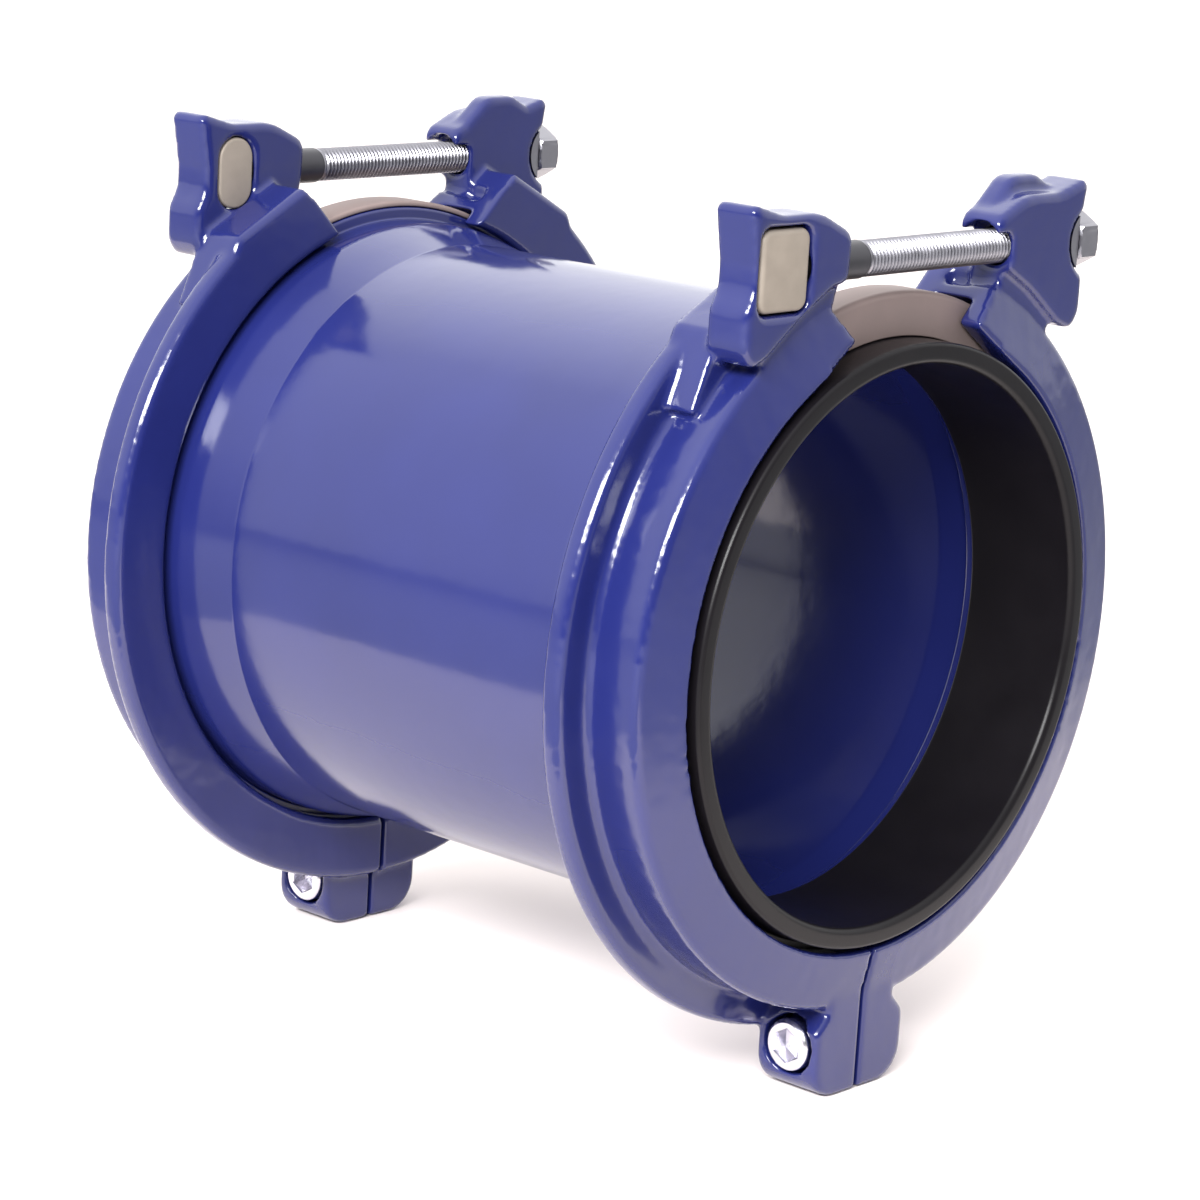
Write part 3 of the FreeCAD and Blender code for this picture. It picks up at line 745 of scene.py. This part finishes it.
class COUPLING_OT_cap_screws(bpy.types.Operator):
    """Cap screws: a turned head with straight knurling and a hexagon socket, and a threaded
    shank"""
    bl_idname = "coupling.cap_screws"
    bl_label = "Cap screws"

    def execute(self, context):
        points = self.screw_points(context.scene.coupling_sizes.pitch / MM)
        for end, side in ENDS:
            node = "bottom_screw_" + end
            mesh = mesh_from_grid(node, mirrored(points, side),
                                  [finishes()["Bright zinc plated steel"]])
            place("cap_screw_" + end, mesh, "housing", "bright_screw", node)
        return {"FINISHED"}

    def screw_points(self, pitch):
        """Rows from the socket's bottom over the head's rim to the point of the shank. The knurling
        is a triangle wave round the head, and the shank's radius is less by the thread's depth."""
        angles = full_turn(columns=240)
        ring = np.ones_like(angles)
        key = hexagon_radius(angles, SOCKET_FLATS)
        wave = np.abs(((angles * KNURLS / (2 * math.pi)) % 1.0) * 2 - 1)
        knurled = HEAD_RADIUS - KNURL_DEPTH * wave
        # Each row is a place along Y and a radius at every angle
        socket = [(SCREW_HEAD_Y + 7.0, ring * 1.2), (SCREW_HEAD_Y + 6.0, key * 0.98),
                  (SCREW_HEAD_Y + 0.5, key), (SCREW_HEAD_Y, key + 0.45)]
        head = [(SCREW_HEAD_Y, ring * (HEAD_RADIUS - 1.2)),
                (SCREW_HEAD_Y + 0.5, ring * (HEAD_RADIUS - 0.45)),
                (SCREW_HEAD_Y + 1.2, ring * HEAD_RADIUS - 0.1),
                (SCREW_HEAD_Y + 1.7, knurled), (SCREW_SEAT_Y - 0.6, knurled),
                (SCREW_SEAT_Y, ring * (HEAD_RADIUS - 0.5)), (SCREW_SEAT_Y, ring * BOLT_RADIUS)]
        shank_y = np.arange(SCREW_SEAT_Y + 0.3, SCREW_POINT_Y - 1.0, pitch / 8)
        thread = BOLT_RADIUS - THREAD_PLAY - thread_depth(shank_y, angles, pitch)
        tip = [(SCREW_POINT_Y - 0.9, ring * (BOLT_RADIUS - 0.2)),
               (SCREW_POINT_Y, ring * (BOLT_RADIUS - 1.1))]
        y = np.concatenate([[row[0] for row in socket + head], shank_y, [row[0] for row in tip]])
        radius = np.concatenate([[row[1] for row in socket + head], thread,
                                 [row[1] for row in tip]])
        return along_y(y, radius, SCREW_X, SCREW_Z, angles)


class COUPLING_OT_stage(bpy.types.Operator):
    """Stage: a pale floor, soft studio light and the camera at the photograph's angle"""
    bl_idname = "coupling.stage"
    bl_label = "Stage"

    def execute(self, context):
        scene = context.scene
        scene.view_settings.view_transform = "Standard"
        self.lay_floor(scene)
        self.light_room(scene)
        self.light_key(scene)
        self.aim_camera(scene)
        return {"FINISHED"}

    def lay_floor(self, scene):
        """Pale floor: a paler patch under and behind the coupling, a painted pool of light, on a
        greyer studio floor. The patch's share is the product of two ramps, one across each of its
        edges."""
        mesh = bpy.data.meshes.new("floor")
        half, z = FLOOR_HALF, FLOOR_Z * MM
        corners = [(-half, -half, z), (half, -half, z), (half, half, z), (-half, half, z)]
        mesh.from_pydata(corners, [], [(0, 1, 2, 3)])
        floor = bpy.data.objects.new("floor", mesh)
        scene.collection.objects.link(floor)
        paper, tree, coordinates = new_material("Pale studio floor")
        axes = add(tree, "ShaderNodeSeparateXYZ", links={"Vector": coordinates})
        rightwards = add(tree, "ShaderNodeVectorMath",
                         {"operation": "DOT_PRODUCT", 1: SHEET_RIGHT_DIRECTION}, {0: coordinates})
        inside_left = add(tree, "ShaderNodeMapRange",
                          {"From Min": SHEET_LEFT_Y - SHEET_LEFT_FADE, "From Max": SHEET_LEFT_Y},
                          {"Value": axes.outputs["Y"]})
        inside_right = add(tree, "ShaderNodeMapRange",
                           {"From Min": SHEET_RIGHT + SHEET_RIGHT_FADE, "From Max": SHEET_RIGHT},
                           {"Value": rightwards.outputs["Value"]})
        # Share of the painted pool of light: the paler floor round the coupling, fading into the
        # grey floor
        on_sheet = add(tree, "ShaderNodeMath", {"operation": "MULTIPLY"},
                       {0: inside_left.outputs["Result"], 1: inside_right.outputs["Result"]})
        colour = add(tree, "ShaderNodeMix",
                     {"data_type": "RGBA", 6: tint(linear(FLOOR_COLOUR), 1),
                      7: tint(linear(SHEET_COLOUR), 1)}, {0: on_sheet.outputs["Value"]})
        finish_shader(tree, {"Roughness": 0.85, "Specular IOR Level": 0.2},
                      {"Base Color": colour.outputs[2]})
        mesh.materials.append(paper)

    def light_room(self, scene):
        """White room, dim beside the camera and bright across from it: a ramp gives the brightness
        for the cosine between the ray's direction and the far room's."""
        world = bpy.data.worlds.new("studio")
        scene.world = world
        world.use_nodes = True
        tree = world.node_tree
        direction = add(tree, "ShaderNodeTexCoord").outputs["Generated"]
        cosine_of = add(tree, "ShaderNodeVectorMath",
                        {"operation": "DOT_PRODUCT", 1: FAR_ROOM_DIRECTION}, {0: direction})
        share = add(tree, "ShaderNodeMapRange", {"From Min": -1.0, "From Max": 1.0},
                    {"Value": cosine_of.outputs["Value"]})
        ramp = add(tree, "ShaderNodeValToRGB", links={"Fac": share.outputs["Result"]})
        brightest = ROOM_LEVELS[-1][1]
        stops = ramp.color_ramp.elements
        for i, (cosine, level) in enumerate(ROOM_LEVELS):
            position = (cosine + 1) / 2
            stop = stops[i] if i < 2 else stops.new(position)
            stop.position = position
            stop.color = (level / brightest,) * 3 + (1.0,)
        background = tree.nodes["Background"]
        background.inputs["Strength"].default_value = brightest
        tree.links.new(ramp.outputs["Color"], background.inputs["Color"])

    def light_key(self, scene):
        """Key light: one wide soft box high on the camera's left, which draws the white glints
        along the rims."""
        key = bpy.data.lights.new("key", "AREA")
        key.shape = "RECTANGLE"
        key.size, key.size_y = KEY_WIDTH, KEY_HEIGHT
        key.energy = KEY_POWER
        lamp = bpy.data.objects.new(key.name, key)
        lamp.location = KEY_PLACE
        lamp.rotation_euler = (-lamp.location).to_track_quat("-Z", "Y").to_euler()
        scene.collection.objects.link(lamp)

    def aim_camera(self, scene):
        """Camera at the photograph's place and angle."""
        data = bpy.data.cameras.new("camera")
        data.sensor_width = CAMERA_SENSOR
        data.lens = CAMERA_LENS
        data.clip_start = CAMERA_CLIP_START
        camera = bpy.data.objects.new("camera", data)
        turned = Matrix((CAMERA_RIGHT, CAMERA_UP, CAMERA_BACK)).transposed()
        camera.matrix_world = Matrix.Translation(CAMERA_PLACE) @ turned.to_4x4()
        scene.collection.objects.link(camera)
        scene.camera = camera


OPERATORS = (COUPLING_OT_stage, COUPLING_OT_sleeve, COUPLING_OT_rubber_rings,
             COUPLING_OT_bridge_plates, COUPLING_OT_clamps, COUPLING_OT_top_bolts,
             COUPLING_OT_nuts, COUPLING_OT_washers, COUPLING_OT_cap_screws)


class COUPLING_PT_panel(bpy.types.Panel):
    """Sizes, colours and pieces of the coupling"""
    bl_idname = "COUPLING_PT_panel"
    bl_label = "Pipe coupling"
    bl_space_type = "VIEW_3D"
    bl_region_type = "UI"
    bl_category = "Coupling"

    def draw(self, context):
        layout = self.layout
        for group in (context.scene.coupling_sizes, context.scene.coupling_colours):
            for name in group.__annotations__:
                layout.prop(group, name)
        for operator in OPERATORS:
            layout.operator(operator.bl_idname)


CLASSES = (CouplingColours, CouplingSizes) + OPERATORS + (COUPLING_PT_panel,)


def register():
    for cls in CLASSES:
        bpy.utils.register_class(cls)
    bpy.types.Scene.coupling_colours = bpy.props.PointerProperty(type=CouplingColours)
    bpy.types.Scene.coupling_sizes = bpy.props.PointerProperty(type=CouplingSizes)


def unregister():
    del bpy.types.Scene.coupling_sizes
    del bpy.types.Scene.coupling_colours
    for cls in reversed(CLASSES):
        bpy.utils.unregister_class(cls)


def main():
    register()
    for operator in OPERATORS:
        area, name = operator.bl_idname.split(".")
        getattr(getattr(bpy.ops, area), name)()


if __name__ == "__main__":
    main()
